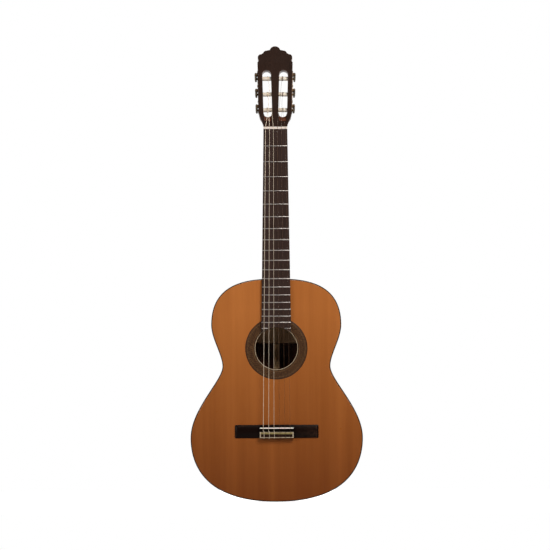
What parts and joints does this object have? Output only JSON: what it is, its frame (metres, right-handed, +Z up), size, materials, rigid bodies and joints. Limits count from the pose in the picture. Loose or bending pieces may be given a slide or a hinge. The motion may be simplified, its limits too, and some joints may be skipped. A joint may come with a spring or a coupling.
{
  "type": "classical guitar",
  "caption": "Nylon-string classical guitar with a cedar top, slotted head, worm-and-gear tuning machines and a tie-block bridge.",
  "frame": {"origin": "middle of the guitar's overall box across and front to back, at the tail end of the body", "axes": "+Z up along the neck to the head, -Y out of the soundboard, +X towards the treble side"},
  "size_m": [0.3746, 0.1132, 0.9909],
  "materials": {
    "cedar_top": "gloss lacquer over straight cedar grain",
    "rosette": "mosaic of dyed woods under gloss lacquer",
    "rosewood_body": "gloss lacquer over rosewood",
    "dark_binding": "gloss lacquer",
    "neck_wood": "satin lacquer over mahogany",
    "heel_cap": "gloss lacquer",
    "head_veneer": "gloss lacquer over dark rosewood veneer",
    "fingerboard": "oiled dark rosewood",
    "bone": "polished bone",
    "bridge_wood": "satin dark rosewood",
    "inlay": "polished bone strips",
    "block_wood": "bare sanded wood",
    "brace_spruce": "bare planed spruce",
    "lining_wood": "bare cut wood",
    "plate_metal": "polished, lightly tarnished",
    "gear_metal": "polished, lightly oiled",
    "roller": "smooth cream plastic",
    "button": "polished black",
    "nylon_string": "clear smooth nylon",
    "wound_string": "silvered wire wound on floss"
  },
  "bodies": {
    "root": {"soundboard": "cedar_top", "rosette": "rosette", "back": "rosewood_body", "side_bass": "rosewood_body", "side_treble": "rosewood_body", "top_binding": "dark_binding", "back_binding": "dark_binding", "neck": "neck_wood", "heel_cap": "heel_cap", "head_veneer": "head_veneer", "fingerboard": "fingerboard", "nut": "bone", "saddle": "bone", "bridge": "bridge_wood", "tie_block_inlay": "inlay", "tail_block": "block_wood", "neck_block": "block_wood", "fan_bracing": "brace_spruce", "upper_harmonic_bar": "brace_spruce", "lower_harmonic_bar": "brace_spruce", "back_brace_lower": "brace_spruce", "back_brace_middle": "brace_spruce", "back_brace_upper": "brace_spruce", "top_lining_bass": "lining_wood", "top_lining_treble": "lining_wood", "back_lining_bass": "lining_wood", "back_lining_treble": "lining_wood", "tuner_plate_bass": "plate_metal", "tuner_plate_treble": "plate_metal", "string_1": "nylon_string", "string_2": "nylon_string", "string_3": "nylon_string", "string_4": "wound_string", "string_5": "wound_string", "string_6": "wound_string"},
    "tuning_button_1": {"tuner_worm_1": "gear_metal", "tuner_button_1": "button"},
    "string_roller_1": {"tuner_roller_1": "roller", "tuner_gear_1": "gear_metal"},
    "tuning_button_2": {"tuner_worm_2": "gear_metal", "tuner_button_2": "button"},
    "string_roller_2": {"tuner_roller_2": "roller", "tuner_gear_2": "gear_metal"},
    "tuning_button_3": {"tuner_worm_3": "gear_metal", "tuner_button_3": "button"},
    "string_roller_3": {"tuner_roller_3": "roller", "tuner_gear_3": "gear_metal"},
    "tuning_button_4": {"tuner_worm_4": "gear_metal", "tuner_button_4": "button"},
    "string_roller_4": {"tuner_roller_4": "roller", "tuner_gear_4": "gear_metal"},
    "tuning_button_5": {"tuner_worm_5": "gear_metal", "tuner_button_5": "button"},
    "string_roller_5": {"tuner_roller_5": "roller", "tuner_gear_5": "gear_metal"},
    "tuning_button_6": {"tuner_worm_6": "gear_metal", "tuner_button_6": "button"},
    "string_roller_6": {"tuner_roller_6": "roller", "tuner_gear_6": "gear_metal"}
  },
  "joints": [
    {"name": "button_1_turn", "type": "hinge", "parent": "root", "child": "tuning_button_1", "pos_m": [0.04034, -0.02504, 0.85975], "axis": [0, 0.9781, -0.2079], "continuous": true},
    {"name": "roller_1_turn", "type": "hinge", "parent": "root", "child": "string_roller_1", "pos_m": [0.03571, -0.02688, 0.85107], "axis": [0.9997, -0.0053, -0.0251], "continuous": true},
    {"name": "button_2_turn", "type": "hinge", "parent": "root", "child": "tuning_button_2", "pos_m": [0.04124, -0.01776, 0.89397], "axis": [0, 0.9781, -0.2079], "continuous": true},
    {"name": "roller_2_turn", "type": "hinge", "parent": "root", "child": "string_roller_2", "pos_m": [0.03661, -0.01961, 0.88529], "axis": [0.9997, -0.0053, -0.0251], "continuous": true},
    {"name": "button_3_turn", "type": "hinge", "parent": "root", "child": "tuning_button_3", "pos_m": [0.04214, -0.01049, 0.92819], "axis": [0, 0.9781, -0.2079], "continuous": true},
    {"name": "roller_3_turn", "type": "hinge", "parent": "root", "child": "string_roller_3", "pos_m": [0.03751, -0.01233, 0.91951], "axis": [0.9997, -0.0053, -0.0251], "continuous": true},
    {"name": "button_4_turn", "type": "hinge", "parent": "root", "child": "tuning_button_4", "pos_m": [-0.04214, -0.01049, 0.92819], "axis": [0, 0.9781, -0.2079], "continuous": true},
    {"name": "roller_4_turn", "type": "hinge", "parent": "root", "child": "string_roller_4", "pos_m": [-0.03751, -0.01233, 0.91951], "axis": [0.9997, 0.0053, 0.0251], "continuous": true},
    {"name": "button_5_turn", "type": "hinge", "parent": "root", "child": "tuning_button_5", "pos_m": [-0.04124, -0.01776, 0.89397], "axis": [0, 0.9781, -0.2079], "continuous": true},
    {"name": "roller_5_turn", "type": "hinge", "parent": "root", "child": "string_roller_5", "pos_m": [-0.03661, -0.01961, 0.88529], "axis": [0.9997, 0.0053, 0.0251], "continuous": true},
    {"name": "button_6_turn", "type": "hinge", "parent": "root", "child": "tuning_button_6", "pos_m": [-0.04034, -0.02504, 0.85975], "axis": [0, 0.9781, -0.2079], "continuous": true},
    {"name": "roller_6_turn", "type": "hinge", "parent": "root", "child": "string_roller_6", "pos_m": [-0.03571, -0.02688, 0.85107], "axis": [0.9997, 0.0053, 0.0251], "continuous": true}
  ],
  "couplings": [
    {"joint": "roller_1_turn", "follows": "button_1_turn", "ratio": 0.071429},
    {"joint": "roller_2_turn", "follows": "button_2_turn", "ratio": 0.071429},
    {"joint": "roller_3_turn", "follows": "button_3_turn", "ratio": 0.071429},
    {"joint": "roller_4_turn", "follows": "button_4_turn", "ratio": 0.071429},
    {"joint": "roller_5_turn", "follows": "button_5_turn", "ratio": 0.071429},
    {"joint": "roller_6_turn", "follows": "button_6_turn", "ratio": 0.071429}
  ]
}
